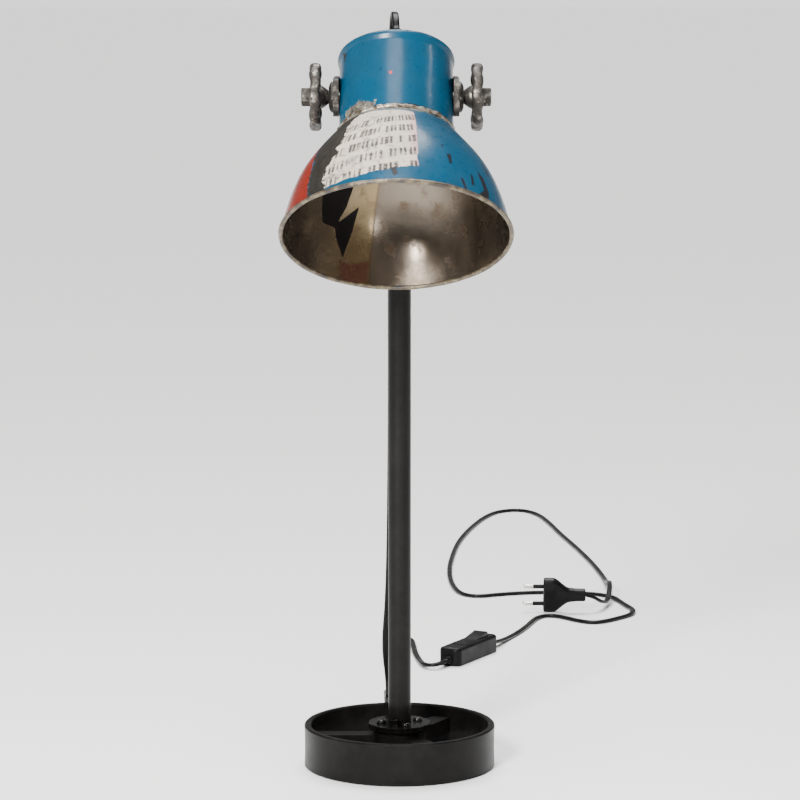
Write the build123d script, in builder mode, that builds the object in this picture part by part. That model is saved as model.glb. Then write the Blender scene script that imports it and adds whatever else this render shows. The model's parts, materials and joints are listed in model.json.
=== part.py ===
"""Desk lamp made from old metal: a spoked cast wheel as its foot, a pipe as its pole, a flat-bar yoke,
a bell shade that tilts between two valve handwheels, and a mains lead with a switch and a plug.

Frame: millimetres, +Z up, origin on the pole's axis at the foot's underside. The shade opens to -Y.
"""

import math
import os

from build123d import *

os.makedirs("parts", exist_ok=True)

# Foot: a cast wheel lying flat
foot_radius = 72.5
foot_height = 32.0
foot_wall = 5.0
foot_waist = 0.35
hub_radius = 20.0
hub_height = 28.8
hub_floor = 4.0
spoke_count = 3
spoke_width = 14.0
spoke_bottom = 12.0
spoke_top = 24.0

# Pole: three-eighths inch pipe
pole_radius = 8.65
pole_bore_radius = 6.65
pole_clearance = 0.05
flange_radius = 23.7
flange_thickness = 4.0
flange_screw_circle = 14.5

# Yoke and tilt axis
tilt_forward = 60.0
tilt_height = 508.86
head_offset = -2.4
tilt_degrees = 31.78
arm_inside = 41.6
arm_thickness = 4.0
arm_height = 27.5
arm_beyond_axis = 14.0
arm_end_radius = 5.0
yoke_bend_radius = 7.0
spindle_radius = 4.0
running_clearance = 0.08

# Shade: sizes along its own axis are measured from the tilt axis, positive towards the opening
sheet = 1.0
cap_radius = 41.2
cap_lip_radius = 42.8
cap_lip = -29.5
cap_top = -33.5
cap_bottom = 30.0
bell_neck = (41.7, 31.8)
bell_shoulder = (56.9, 53.7)
bell_flare = (73.5, 64.8)
bell_mouth = (82.1, 113.3)
rim_bead_radius = 1.6
neck_bead_radius = 1.7

# Handwheels: sizes along the tilt axis are measured from the middle of the head
washer_radius = 11.2
washer_thickness = 3.2
wheel_radius = 25.0
wheel_inner_radius = 17.0
wheel_inside = 54.2
wheel_thickness = 8.6
wheel_lobes = 8
wheel_spokes = 4
end_nut_flats = 13.0
end_nut_height = 6.0

# Lampholder, for an E27 lamp
thread_mouth_radius = 13.3
holder_radius = 19.0
holder_mouth = 22.0

# Mains lead: flat twin flex, as a plain tube
lead_radius = 2.1
boot_end = -56.5
boot_foot_radius = 7.5
boot_foot_height = 7.0
boot_tip_radius = 4.1
boot_bore_radius = 2.9

# Switch in the lead
switch_middle = (61.0, 392.3)
switch_heading = 62.0
switch_length = 78.0
switch_width = 21.0
switch_height = 16.0
switch_split = 8.0
switch_axis_height = 6.0
switch_relief = 4.0
rocker_width = 13.0
rocker_offset = 3.0

# Two-pin plug, standing on its narrow edge
plug_face = (136.5, 606.8)
plug_lean = 20.0
plug_width = 35.3
plug_depth = 13.7
plug_neck_end = 40.0
pin_radius = 2.0
pin_length = 19.0
pin_spacing = 18.6
pin_sleeve = 10.0

nodes = {}


def keep(part, label):
    """Label a finished piece and write it as its own STEP file."""
    part.label = label
    export_step(part, f"parts/{label}.step")
    nodes[label] = part


# ---------------------------------------------------------------- foot and pole

hub_seat = hub_height + flange_thickness

with BuildPart() as base_wheel:
    with BuildSketch(Plane.XZ):
        with BuildLine():
            outer_top = (foot_radius, foot_height - 1)
            outer_bottom = (foot_radius, 1)
            ThreePointArc(outer_bottom, (foot_radius - foot_waist, foot_height / 2), outer_top)
            Polyline(
                outer_top,
                (foot_radius - 1, foot_height),
                (foot_radius - foot_wall + 1, foot_height),
                (foot_radius - foot_wall, foot_height - 1),
                (foot_radius - foot_wall - 1, 1),
                (foot_radius - foot_wall, 0),
                (foot_radius - 1, 0),
                outer_bottom,
            )
        make_face()
    revolve(axis=Axis.Z)
    with BuildSketch(Plane.XY):
        Circle(hub_radius)
    extrude(amount=hub_height)
    with BuildSketch(Plane.XY.offset(spoke_bottom)):
        spoke_reach = foot_radius - foot_wall / 2
        for spoke in range(spoke_count):
            turn = 180 + spoke * 360 / spoke_count
            with Locations(Rotation(0, 0, turn)):
                Rectangle(spoke_reach, spoke_width, align=(Align.MIN, Align.CENTER))
    extrude(amount=spoke_top - spoke_bottom)
    with BuildSketch(Plane.XY.offset(hub_floor)):
        Circle(pole_radius + pole_clearance)
    extrude(amount=foot_height, mode=Mode.SUBTRACT)
keep(base_wheel.part, "base_wheel")

with BuildPart() as pole_flange:
    with BuildSketch(Plane.XY.offset(hub_height)):
        Circle(flange_radius)
        with PolarLocations(flange_radius + 7, 10):
            Circle(7.6, mode=Mode.SUBTRACT)
        Circle(pole_radius + pole_clearance, mode=Mode.SUBTRACT)
    extrude(amount=flange_thickness)
    chamfer(pole_flange.edges().group_by(Axis.Z)[-1], length=0.4)
keep(pole_flange.part, "pole_flange")

with BuildPart() as flange_screws:
    with BuildSketch(Plane.XY.offset(hub_seat)):
        with PolarLocations(flange_screw_circle, 4, start_angle=-72):
            Circle(3.6)
    extrude(amount=2.6)
    fillet(flange_screws.edges().group_by(Axis.Z)[-1], radius=2.0)
keep(flange_screws.part, "flange_screws")

with BuildPart() as locking_screw:
    with BuildSketch(Plane.XY.offset(hub_seat)):
        with PolarLocations(flange_screw_circle, 1, start_angle=-106):
            RegularPolygon(3.6, 6)
    extrude(amount=5.4)
    fillet(locking_screw.edges().group_by(Axis.Z)[-1], radius=0.8)
keep(locking_screw.part, "locking_screw")

yoke_bottom = tilt_height - arm_height / 2
pole_plug_height = 4.5

with BuildPart() as pole:
    with BuildSketch(Plane.XY.offset(hub_floor)):
        Circle(pole_radius)
        Circle(pole_bore_radius, mode=Mode.SUBTRACT)
    extrude(amount=yoke_bottom - pole_plug_height - hub_floor)
keep(pole.part, "pole")

with BuildPart() as pole_top_plate:
    with BuildSketch(Plane.XY.offset(yoke_bottom - pole_plug_height)):
        Circle(pole_radius)
    extrude(amount=pole_plug_height)
    chamfer(pole_top_plate.edges().group_by(Axis.Z)[-1], length=0.8)
keep(pole_top_plate.part, "pole_top_plate")

# ---------------------------------------------------------------- yoke

pivot = Vector(head_offset, -tilt_forward, tilt_height)
arm_middle = arm_inside + arm_thickness / 2

with BuildPart() as yoke:
    with BuildSketch(Plane.XY.offset(yoke_bottom)):
        with BuildLine():
            front = -tilt_forward - arm_beyond_axis
            FilletPolyline(
                (head_offset - arm_middle, front),
                (head_offset - arm_middle, 0),
                (head_offset + arm_middle, 0),
                (head_offset + arm_middle, front),
                radius=yoke_bend_radius,
            )
        trace(line_width=arm_thickness)
    extrude(amount=arm_height)
    arm_ends = yoke.edges().filter_by(Axis.X).group_by(Axis.Y)[0]
    fillet(arm_ends, radius=arm_end_radius)
    with BuildSketch(Plane(origin=pivot, x_dir=(0, 1, 0), z_dir=(1, 0, 0))):
        Circle(spindle_radius + running_clearance)
    extrude(amount=2 * arm_inside, both=True, mode=Mode.SUBTRACT)
keep(yoke.part, "yoke")

# ---------------------------------------------------------------- shade

tilt = math.radians(tilt_degrees)
down = Vector(0, -math.sin(tilt), -math.cos(tilt))
shade_axis = Axis(pivot, down)
across = Plane(origin=pivot, x_dir=(1, 0, 0), z_dir=down)
profile = Plane(origin=pivot, x_dir=(1, 0, 0), z_dir=(0, math.cos(tilt), -math.sin(tilt)))
side = Plane(origin=pivot, x_dir=(0, 1, 0), z_dir=(1, 0, 0))

nipple_radius = 5.0

with BuildPart() as shade_cap:
    with BuildSketch(profile):
        with BuildLine():
            lip_start = (cap_radius, cap_lip + 6)
            lip_edge = (cap_lip_radius, cap_lip)
            top_edge = (cap_lip_radius - 4, cap_top)
            Line((cap_radius, cap_bottom), lip_start)
            Spline(lip_start, lip_edge, top_edge, tangents=((0, -1), (-1, 0)))
            Polyline(
                top_edge,
                (nipple_radius + 0.1, cap_top),
                (nipple_radius + 0.1, cap_top + sheet),
                (cap_lip_radius - 5, cap_top + sheet),
                (cap_radius - sheet, cap_lip + 3),
                (cap_radius - sheet, cap_bottom),
                (cap_radius, cap_bottom),
            )
        make_face()
    revolve(axis=shade_axis)
    with BuildSketch(side):
        Circle(spindle_radius + 0.35)
    extrude(amount=2 * cap_radius, both=True, mode=Mode.SUBTRACT)
keep(shade_cap.part, "shade_cap")

with BuildPart() as shade_bell:
    with BuildSketch(profile):
        with BuildLine():
            neck_inner = (bell_neck[0] - 0.82 * sheet, bell_neck[1] + 0.57 * sheet)
            shoulder_inner = (bell_shoulder[0] - 0.82 * sheet, bell_shoulder[1] + 0.57 * sheet)
            flare_inner = (bell_flare[0] - 0.98 * sheet, bell_flare[1] + 0.17 * sheet)
            mouth_inner = (bell_mouth[0] - 0.98 * sheet, bell_mouth[1] + 0.17 * sheet)
            Bezier(bell_neck, bell_shoulder, bell_flare, bell_mouth)
            Line(bell_mouth, mouth_inner)
            Bezier(mouth_inner, flare_inner, shoulder_inner, neck_inner)
            Line(neck_inner, bell_neck)
        make_face()
    revolve(axis=shade_axis)
keep(shade_bell.part, "shade_bell")

with BuildPart() as neck_bead:
    with BuildSketch(profile):
        with Locations((cap_radius, cap_bottom + neck_bead_radius / 2)):
            Circle(neck_bead_radius)
    revolve(axis=shade_axis)
    with BuildSketch(across):
        Circle(cap_radius - sheet)
    extrude(amount=60, mode=Mode.SUBTRACT)
keep(neck_bead.part - shade_cap.part - shade_bell.part, "neck_bead")

with BuildPart() as rim_bead:
    with BuildSketch(profile):
        with Locations(bell_mouth):
            Circle(rim_bead_radius)
    revolve(axis=shade_axis)
keep(rim_bead.part - shade_bell.part, "rim_bead")

# ---------------------------------------------------------------- lampholder and lead entry

nipple_top = cap_top - 8
nipple_bottom = -22.0
nipple_nut_height = 2.0
holder_top = -30.2

with BuildPart() as nipple:
    with BuildSketch(across.offset(nipple_top)):
        Circle(nipple_radius)
        Circle(nipple_radius - 1, mode=Mode.SUBTRACT)
    extrude(amount=nipple_bottom - nipple_top)
keep(nipple.part, "nipple")

with BuildPart() as nipple_nut:
    with BuildSketch(across.offset(cap_top + sheet)):
        RegularPolygon(8.2, 6)
        Circle(nipple_radius + 0.05, mode=Mode.SUBTRACT)
    extrude(amount=nipple_nut_height)
keep(nipple_nut.part, "nipple_nut")

with BuildPart() as lead_boot:
    with BuildSketch(profile):
        with BuildLine():
            Polyline(
                (nipple_radius + 0.05, cap_top),
                (boot_foot_radius, cap_top),
                (boot_foot_radius, cap_top - boot_foot_height),
                (boot_foot_radius - 1.1, cap_top - boot_foot_height - 1),
                (boot_tip_radius + 0.2, boot_end + 1),
                (boot_tip_radius, boot_end),
                (boot_bore_radius, boot_end),
                (boot_bore_radius, nipple_top),
                (nipple_radius + 0.05, nipple_top),
                close=True,
            )
        make_face()
    revolve(axis=shade_axis)
keep(lead_boot.part, "lead_boot")

holder_split = -12.0

with BuildPart() as lampholder_dome:
    with BuildSketch(profile):
        with BuildLine():
            ThreePointArc((nipple_radius + 2, holder_top), (15.2, -25), (holder_radius, holder_split))
            Polyline(
                (holder_radius, holder_split),
                (holder_radius - 2, holder_split),
                (13.4, -23.6),
                (nipple_radius + 0.05, holder_top + 2.2),
                (nipple_radius + 0.05, holder_top),
                (nipple_radius + 2, holder_top),
            )
        make_face()
    revolve(axis=shade_axis)
keep(lampholder_dome.part, "lampholder_dome")

with BuildPart() as lampholder_insert:
    with BuildSketch(across.offset(holder_split + 1)):
        Circle(holder_radius - 3.2)
    extrude(amount=6.5)
    with BuildSketch(across.offset(holder_split + 1)):
        with GridLocations(14, 1, 2, 1):
            Circle(1.8)
    extrude(amount=3, mode=Mode.SUBTRACT)
keep(lampholder_insert.part, "lampholder_insert")

with BuildPart() as lampholder_shell:
    with BuildSketch(profile):
        with BuildLine():
            Polyline(
                (holder_radius, holder_split),
                (holder_radius, holder_mouth - 3),
                (holder_radius - 1.5, holder_mouth),
                (thread_mouth_radius + 0.9, holder_mouth),
                (thread_mouth_radius, holder_mouth - 0.9),
                (thread_mouth_radius, -1),
                (thread_mouth_radius + 1, -4),
                (holder_radius - 3, -4),
                (holder_radius - 3, holder_split),
                close=True,
            )
        make_face()
    revolve(axis=shade_axis)
    for ring in range(4):
        groove_plane = across.offset(-9 + 2.4 * ring)
        with BuildSketch(groove_plane):
            Circle(holder_radius + 1)
            Circle(holder_radius - 0.6, mode=Mode.SUBTRACT)
        extrude(amount=1.0, mode=Mode.SUBTRACT)
keep(lampholder_shell.part, "lampholder_shell")

insert_face = holder_split + 1 + 6.5

with BuildPart() as lampholder_contacts:
    with BuildSketch(across.offset(insert_face)):
        Circle(3.5)
        with Locations((9.5, 0)):
            Rectangle(3, 5)
    extrude(amount=1.8)
keep(lampholder_contacts.part, "lampholder_contacts")

with BuildPart() as spindle_nuts:
    for x in (-39.6, 33.6):
        nut_plane = Plane(origin=pivot + Vector(x, 0, 0), x_dir=(0, 1, 0), z_dir=(1, 0, 0))
        with BuildSketch(nut_plane):
            RegularPolygon(7.5, 6)
            Circle(spindle_radius + running_clearance, mode=Mode.SUBTRACT)
        extrude(amount=6)
keep(spindle_nuts.part, "spindle_nuts")

# ---------------------------------------------------------------- handwheels

arm_outside = arm_inside + arm_thickness
washer_inside = arm_outside + 0.15
hub_inside = washer_inside + washer_thickness
wheel_outside = wheel_inside + wheel_thickness
spindle_inner_end = 33.0
spindle_outer_end = wheel_outside + end_nut_height - 0.8
rim_edge_radius = 2.2
spoke_reach = wheel_inner_radius + 2
wheel_spoke_width = 7.0
wheel_spoke_thickness = 4.6

for hand, way in (("left", -1), ("right", 1)):
    turning = Plane(origin=pivot, x_dir=(way, 0, 0), z_dir=(0, 0, way))
    tilt_axis = Axis(pivot, (way, 0, 0))
    outward = Plane(origin=pivot, x_dir=(0, 1, 0), z_dir=(way, 0, 0))

    with BuildPart() as clamp_washer:
        with BuildSketch(turning):
            with BuildLine():
                washer_top = (hub_inside, spindle_radius + 2)
                washer_edge = (washer_inside + 1.2, washer_radius)
                Polyline(
                    washer_top,
                    (hub_inside, spindle_radius + 0.1),
                    (washer_inside, spindle_radius + 0.1),
                    (washer_inside, washer_radius),
                    washer_edge,
                )
                ThreePointArc(washer_edge, (washer_inside + 2.6, 9.0), washer_top)
            make_face()
        revolve(axis=tilt_axis)
    keep(clamp_washer.part, f"{hand}_clamp_washer")

    with BuildPart() as handwheel:
        with BuildSketch(outward.offset(wheel_inside)) as rim_outline:
            Circle(wheel_radius)
            with PolarLocations(wheel_radius + 5, wheel_lobes):
                Circle(6.6, mode=Mode.SUBTRACT)
            fillet(rim_outline.vertices(), radius=2)
            Circle(wheel_inner_radius, mode=Mode.SUBTRACT)
        extrude(amount=wheel_thickness)
        rim_ends = handwheel.edges().group_by(tilt_axis)
        fillet(rim_ends[0] + rim_ends[-1], radius=rim_edge_radius)
        with BuildSketch(outward.offset(wheel_inside + 2)):
            for spoke in range(wheel_spokes):
                with Locations(Rotation(0, 0, 45 + spoke * 360 / wheel_spokes)):
                    Rectangle(spoke_reach, wheel_spoke_width, align=(Align.MIN, Align.CENTER))
        extrude(amount=wheel_spoke_thickness)
        with BuildSketch(turning):
            with BuildLine():
                Polyline(
                    (hub_inside, spindle_radius),
                    (hub_inside, 4.9),
                    (wheel_inside - 1, 8.2),
                    (wheel_outside - 1, 8.2),
                    (wheel_outside, 7.2),
                    (wheel_outside, spindle_radius),
                    close=True,
                )
            make_face()
        revolve(axis=tilt_axis)
        with BuildSketch(outward.offset(hub_inside)):
            Circle(spindle_radius)
        extrude(amount=wheel_outside - hub_inside, mode=Mode.SUBTRACT)
    keep(handwheel.part, f"{hand}_handwheel")

    with BuildPart() as spindle:
        with BuildSketch(outward.offset(spindle_inner_end)):
            Circle(spindle_radius)
        extrude(amount=spindle_outer_end - spindle_inner_end)
        chamfer(spindle.edges().group_by(tilt_axis)[-1], length=0.6)
    keep(spindle.part, f"{hand}_spindle")

    with BuildPart() as end_nut:
        with BuildSketch(outward.offset(wheel_outside)):
            RegularPolygon(end_nut_flats / 2, 6, major_radius=False)
            Circle(spindle_radius, mode=Mode.SUBTRACT)
        extrude(amount=end_nut_height)
        with BuildSketch(turning):
            with BuildLine():
                nut_corner = end_nut_flats / math.sqrt(3)
                nut_end = wheel_outside + end_nut_height
                Polyline(
                    (nut_end - 1.2, nut_corner + 0.1),
                    (nut_end, nut_corner - 1.6),
                    (nut_end, nut_corner + 0.1),
                    close=True,
                )
            make_face()
        revolve(axis=tilt_axis, mode=Mode.SUBTRACT)
    keep(end_nut.part, f"{hand}_end_nut")

# ---------------------------------------------------------------- switch in the lead

heading = math.radians(switch_heading)
along = Vector(math.cos(heading), math.sin(heading), 0)
switch = Plane(origin=(*switch_middle, 0), x_dir=along, z_dir=(0, 0, 1))
switch_wall = 1.6
switch_corner = 6.0
switch_top_round = 2.8
switch_foot_round = 1.5
switch_post = 2.6
switch_screw_bore = 1.4
cavity = (switch_length - 2 * switch_wall, switch_width - 2 * switch_wall)
screw_spread = 2 * (switch_length / 2 - 4.5)
rocker_swing = 11.0
rocker_reach = 22.6
rocker_crown = 3.2
rocker_pin_radius = 1.2

with BuildPart() as switch_base:
    with BuildSketch(switch):
        RectangleRounded(switch_length, switch_width, switch_corner)
    extrude(amount=switch_split)
    fillet(switch_base.edges().group_by(Axis.Z)[0], radius=switch_foot_round)
    with BuildSketch(switch.offset(switch_wall)):
        RectangleRounded(*cavity, switch_corner - switch_wall)
    extrude(amount=switch_split, mode=Mode.SUBTRACT)
    with BuildSketch(switch.offset(switch_wall)):
        with GridLocations(screw_spread, 1, 2, 1):
            Circle(switch_post)
            Circle(switch_screw_bore, mode=Mode.SUBTRACT)
    extrude(amount=switch_split - switch_wall)
keep(switch_base.part, "switch_base")

with BuildPart() as switch_cover:
    with BuildSketch(switch.offset(switch_split)):
        RectangleRounded(switch_length, switch_width, switch_corner)
    extrude(amount=switch_height - switch_split)
    fillet(switch_cover.edges().group_by(Axis.Z)[-1], radius=switch_top_round)
    with BuildSketch(switch.offset(switch_split)):
        RectangleRounded(*cavity, switch_corner - switch_wall)
    extrude(amount=switch_height - switch_split - switch_wall, mode=Mode.SUBTRACT)
    with BuildSketch(switch.offset(switch_split)):
        with Locations((rocker_offset, 0)):
            Rectangle(2 * rocker_reach + 0.6, rocker_width + 0.6)
        with GridLocations(screw_spread, 1, 2, 1):
            Circle(1.5)
    extrude(amount=switch_height, mode=Mode.SUBTRACT)
    with BuildSketch(switch.offset(switch_height - 1)):
        with GridLocations(screw_spread, 1, 2, 1):
            Circle(2.5)
    extrude(amount=2, mode=Mode.SUBTRACT)
keep(switch_cover.part, "switch_cover")

with BuildPart() as switch_screws:
    with BuildSketch(switch.offset(switch_wall + 1)):
        with GridLocations(screw_spread, 1, 2, 1):
            Circle(1.35)
    extrude(amount=switch_height - 1 - switch_wall - 1)
    with BuildSketch(switch.offset(switch_height - 1)):
        with GridLocations(screw_spread, 1, 2, 1):
            Circle(2.3)
    extrude(amount=0.8)
keep(switch_screws.part, "switch_screws")

with BuildPart() as switch_reliefs:
    for end in (-1, 1):
        collar_plane = Plane(
            origin=switch.origin + along * end * switch_length / 2 + Vector(0, 0, switch_axis_height),
            x_dir=(-along.Y, along.X, 0),
            z_dir=along * end,
        )
        with BuildSketch(collar_plane):
            RectangleRounded(9, 7, 2)
        with BuildSketch(collar_plane.offset(switch_relief)):
            RectangleRounded(7, 5.4, 2)
        loft()
keep(switch_reliefs.part, "switch_reliefs")

rocker_centre = switch.origin + along * rocker_offset + Vector(0, 0, switch_height + 0.2 - rocker_crown)
rocker_side = Plane(origin=rocker_centre, x_dir=along, z_dir=(along.Y, -along.X, 0))
swing = math.radians(rocker_swing)

with BuildPart() as switch_rocker:
    with BuildSketch(rocker_side):
        with BuildLine():
            low_end = (-math.sqrt(rocker_reach**2 - rocker_crown**2), rocker_crown)
            low_foot = (-math.sqrt(rocker_reach**2 - 2.6**2), -2.6)
            high_foot = (rocker_reach, 0)
            crown_out = rocker_crown * math.cos(swing)
            reach_up = math.sqrt(rocker_reach**2 - crown_out**2)
            high_end = (
                reach_up * math.cos(swing) - crown_out * math.sin(swing),
                reach_up * math.sin(swing) + crown_out * math.cos(swing),
            )
            bend = (0, rocker_crown)
            Line(low_end, bend)
            Line(bend, high_end)
            RadiusArc(high_end, high_foot, rocker_reach)
            Polyline(high_foot, (2, -2.6), low_foot)
            RadiusArc(low_foot, low_end, rocker_reach)
        make_face()
        Circle(rocker_pin_radius + running_clearance, mode=Mode.SUBTRACT)
    extrude(amount=rocker_width / 2, both=True)
keep(switch_rocker.part, "switch_rocker")

with BuildPart() as rocker_pin:
    with BuildSketch(rocker_side):
        Circle(rocker_pin_radius)
    extrude(amount=cavity[1] / 2, both=True)
keep(rocker_pin.part, "rocker_pin")

with BuildPart() as switch_terminals:
    with BuildSketch(switch.offset(switch_wall)):
        with GridLocations(52, 9, 2, 2):
            Rectangle(7, 5)
    extrude(amount=5)
keep(switch_terminals.part, "switch_terminals")

# ---------------------------------------------------------------- plug

lean = math.radians(plug_lean)
plug_round = plug_depth / 2
plug_centre_height = (plug_width / 2 - plug_round) * math.cos(lean) + plug_round
plug_centre = Vector(
    plug_face[0],
    plug_face[1] - (plug_width / 2 - plug_round) * math.sin(lean),
    plug_centre_height,
)
plug = Plane(origin=plug_centre, x_dir=(0, -math.sin(lean), math.cos(lean)), z_dir=(1, 0, 0))

plug_head = 8.0
# Distance from the face, width and thickness of each section that the body narrows through
plug_sections = (
    (plug_head, plug_width, plug_depth),
    (16.0, 24.0, 12.6),
    (24.0, 14.5, 11.0),
    (plug_neck_end, 11.0, 8.5),
)

with BuildPart() as plug_body:
    with BuildSketch(plug):
        SlotOverall(plug_width, plug_depth)
    extrude(amount=plug_head)
    for station, width, depth in plug_sections:
        with BuildSketch(plug.offset(station)):
            SlotOverall(width, depth)
    loft()
keep(plug_body.part, "plug_body")

with BuildPart() as plug_pins:
    with BuildSketch(plug):
        with GridLocations(pin_spacing, 1, 2, 1):
            Circle(pin_radius - 0.4)
    extrude(amount=-pin_sleeve)
    with BuildSketch(plug.offset(-pin_sleeve)):
        with GridLocations(pin_spacing, 1, 2, 1):
            Circle(pin_radius)
    extrude(amount=-(pin_length - pin_sleeve))
    fillet(plug_pins.edges().group_by(Axis.X)[0], radius=1.2)
keep(plug_pins.part, "plug_pins")

with BuildPart() as plug_sleeves:
    with BuildSketch(plug):
        with GridLocations(pin_spacing, 1, 2, 1):
            Circle(pin_radius)
            Circle(pin_radius - 0.4, mode=Mode.SUBTRACT)
    extrude(amount=-pin_sleeve)
keep(plug_sleeves.part, "plug_sleeves")

# ---------------------------------------------------------------- mains lead

boot_tip = pivot + down * (boot_end - 0.4)
switch_near = switch.origin - along * (switch_length / 2 + switch_relief) + Vector(0, 0, switch_axis_height)
switch_far = switch.origin + along * (switch_length / 2 + switch_relief) + Vector(0, 0, switch_axis_height)
plug_tail = plug_centre + Vector(plug_neck_end, 0, 0)
floor = lead_radius

lamp_side_route = [
    boot_tip,
    (-2.8, -23, 568.4),
    (-4.5, 1.5, 569),
    (-5.5, 18.5, 551.5),
    (-5.8, 21, 508),
    (-6, 18.5, 446),
    (-6.5, 17.5, 378),
    (-6.3, 17, 308),
    (-6.6, 17.5, 240),
    (-7.2, 18, 176),
    (-8.5, 19, 124),
    (-11.5, 20, 88),
    (-8, 26, 58),
    (-8.5, 48, 41),
    (-9.5, 66, 39.5),
    (-10, 84, 39),
    (-9.5, 104, 24),
    (-9, 126, 5),
    (-8, 154, floor),
    (-7.5, 208, floor),
    (-8, 268, floor),
    (-9, 326, floor),
    (-11.2, 382, floor),
    (-13, 434, floor),
    (-12.5, 474, floor),
    (9.5, 474, floor),
    (12.3, 444, floor),
    (13.5, 408, floor),
    (17.5, 372, floor),
    (22, 345, 3.5),
    (34.5, 341, 5),
    switch_near,
]

plug_side_route = [
    switch_far,
    (88, 443, 4.5),
    (98, 470, floor),
    (111, 504, floor),
    (120, 535, floor),
    (126, 560, floor),
    (134, 577, floor),
    (146, 579, floor),
    (157, 567, floor),
    (168, 553, floor),
    (181, 544, floor),
    (194, 553, floor),
    (206, 567, floor),
    (219, 584, floor),
    (223, 606, floor),
    (217, 629, floor),
    (212, 652, floor),
    (208, 671, floor),
    (196, 686, floor),
    (178, 694, floor),
    (149, 698.5, floor),
    (121, 695, floor),
    (96, 686, floor),
    (78, 676, floor),
    (63, 683, floor),
    (55, 710, floor),
    (50.5, 762, floor),
    (50.5, 832, floor),
    (55, 902, floor),
    (60.5, 968, floor),
    (70, 1036, floor),
    (82, 1098, floor),
    (96, 1155, floor),
    (112, 1194, floor),
    (138, 1205, floor),
    (156, 1174, floor),
    (166, 1112, floor),
    (174, 1042, floor),
    (184, 974, floor),
    (193, 906, floor),
    (200, 842, floor),
    (204.5, 784, floor),
    (206, 742, floor + 1),
    (205.5, 700, 12.5),
    (203.5, 660, 12.5),
    (199, 630, 5),
    (192, 610, 9),
    (184.5, 603.6, 15),
    plug_tail,
]


def lead(route, label):
    """A plain tube along a route: straight runs joined by the largest arcs that fit. Prints its radii."""
    points = [Vector(point) for point in route]
    radii = []
    for before, corner, after in zip(points, points[1:], points[2:]):
        turn = math.radians((corner - before).get_angle(after - corner))
        shorter = min((corner - before).length, (after - corner).length)
        radii.append(0.45 * shorter / math.tan(turn / 2))
    with BuildPart() as tube:
        with BuildLine() as path:
            FilletPolyline(*points, radius=radii)
        with BuildSketch(Plane(origin=points[0], z_dir=points[1] - points[0])):
            Circle(lead_radius)
        sweep()
    length = path.wires()[0].length
    print(label, "length", round(length, 1), "radii", [round(radius, 1) for radius in radii])
    print(label, "volume over section times length", tube.part.volume / (math.pi * lead_radius**2 * length))
    keep(tube.part, label)


lead(lamp_side_route, "lead_lamp_side")
lead(plug_side_route, "lead_plug_side")

print(len(nodes), "pieces")
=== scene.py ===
import json
import math

import bpy
import numpy as np
from bpy.props import FloatProperty, FloatVectorProperty, IntProperty, PointerProperty
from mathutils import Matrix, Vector


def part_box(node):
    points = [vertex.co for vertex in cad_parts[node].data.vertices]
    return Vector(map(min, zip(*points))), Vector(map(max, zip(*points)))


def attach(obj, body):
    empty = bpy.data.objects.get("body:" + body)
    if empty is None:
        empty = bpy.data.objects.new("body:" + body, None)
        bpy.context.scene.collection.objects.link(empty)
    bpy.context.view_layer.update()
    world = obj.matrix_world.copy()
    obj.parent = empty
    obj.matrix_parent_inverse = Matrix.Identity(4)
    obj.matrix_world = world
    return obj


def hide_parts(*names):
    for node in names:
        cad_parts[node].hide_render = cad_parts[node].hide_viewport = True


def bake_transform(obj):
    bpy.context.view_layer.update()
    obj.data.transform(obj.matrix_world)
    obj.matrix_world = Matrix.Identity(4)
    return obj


bl_info = {
    "name": "Bell Desk Lamp",
    "version": (1, 0, 0),
    "blender": (4, 5, 0),
    "location": "View3D > Sidebar > Bell Lamp",
    "description": "A desk lamp of old drum sheet, cast wheels and pipe, built round its measured frame",
    "category": "Add Mesh",
}

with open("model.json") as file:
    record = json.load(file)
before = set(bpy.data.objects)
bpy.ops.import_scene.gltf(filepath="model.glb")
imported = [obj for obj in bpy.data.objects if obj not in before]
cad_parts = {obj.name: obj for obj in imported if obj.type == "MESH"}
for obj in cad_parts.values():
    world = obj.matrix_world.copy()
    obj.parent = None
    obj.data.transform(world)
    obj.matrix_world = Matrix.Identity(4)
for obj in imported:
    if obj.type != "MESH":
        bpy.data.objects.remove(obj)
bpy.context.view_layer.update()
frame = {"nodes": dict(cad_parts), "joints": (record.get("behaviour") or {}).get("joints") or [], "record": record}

MM = 0.001
SIDES = (("left", -1), ("right", 1))


# ---------------------------------------------------------------- the frame's own sizes

JOINTS = {joint["name"]: joint for joint in frame["joints"]}
PIVOT = np.array(JOINTS["head_tilt"]["pos_m"])
MOUNTS = {mount["name"]: mount for mount in frame["record"]["mounts"]}
DOWN = np.array(MOUNTS["lamp_socket"]["axis"])
ACROSS = np.array([1.0, 0.0, 0.0])
FACING = np.cross(DOWN, ACROSS)


# ---------------------------------------------------------------- what a user may change


def linear(hex_colour):
    """An sRGB hex colour as linear red, green and blue."""
    values = np.array([int(hex_colour[i : i + 2], 16) for i in (0, 2, 4)]) / 255
    low = values / 12.92
    high = ((values + 0.055) / 1.055) ** 2.4
    return tuple(float(v) for v in np.where(values <= 0.04045, low, high))


def length(name, description, millimetres):
    """A size property, stored in metres."""
    return FloatProperty(
        name=name, description=description, default=millimetres * MM, subtype="DISTANCE", unit="LENGTH"
    )


def colour(name, description, hex_colour):
    """A colour property, stored linear."""
    return FloatVectorProperty(
        name=name, description=description, default=linear(hex_colour), subtype="COLOR", min=0, max=1
    )


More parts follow.
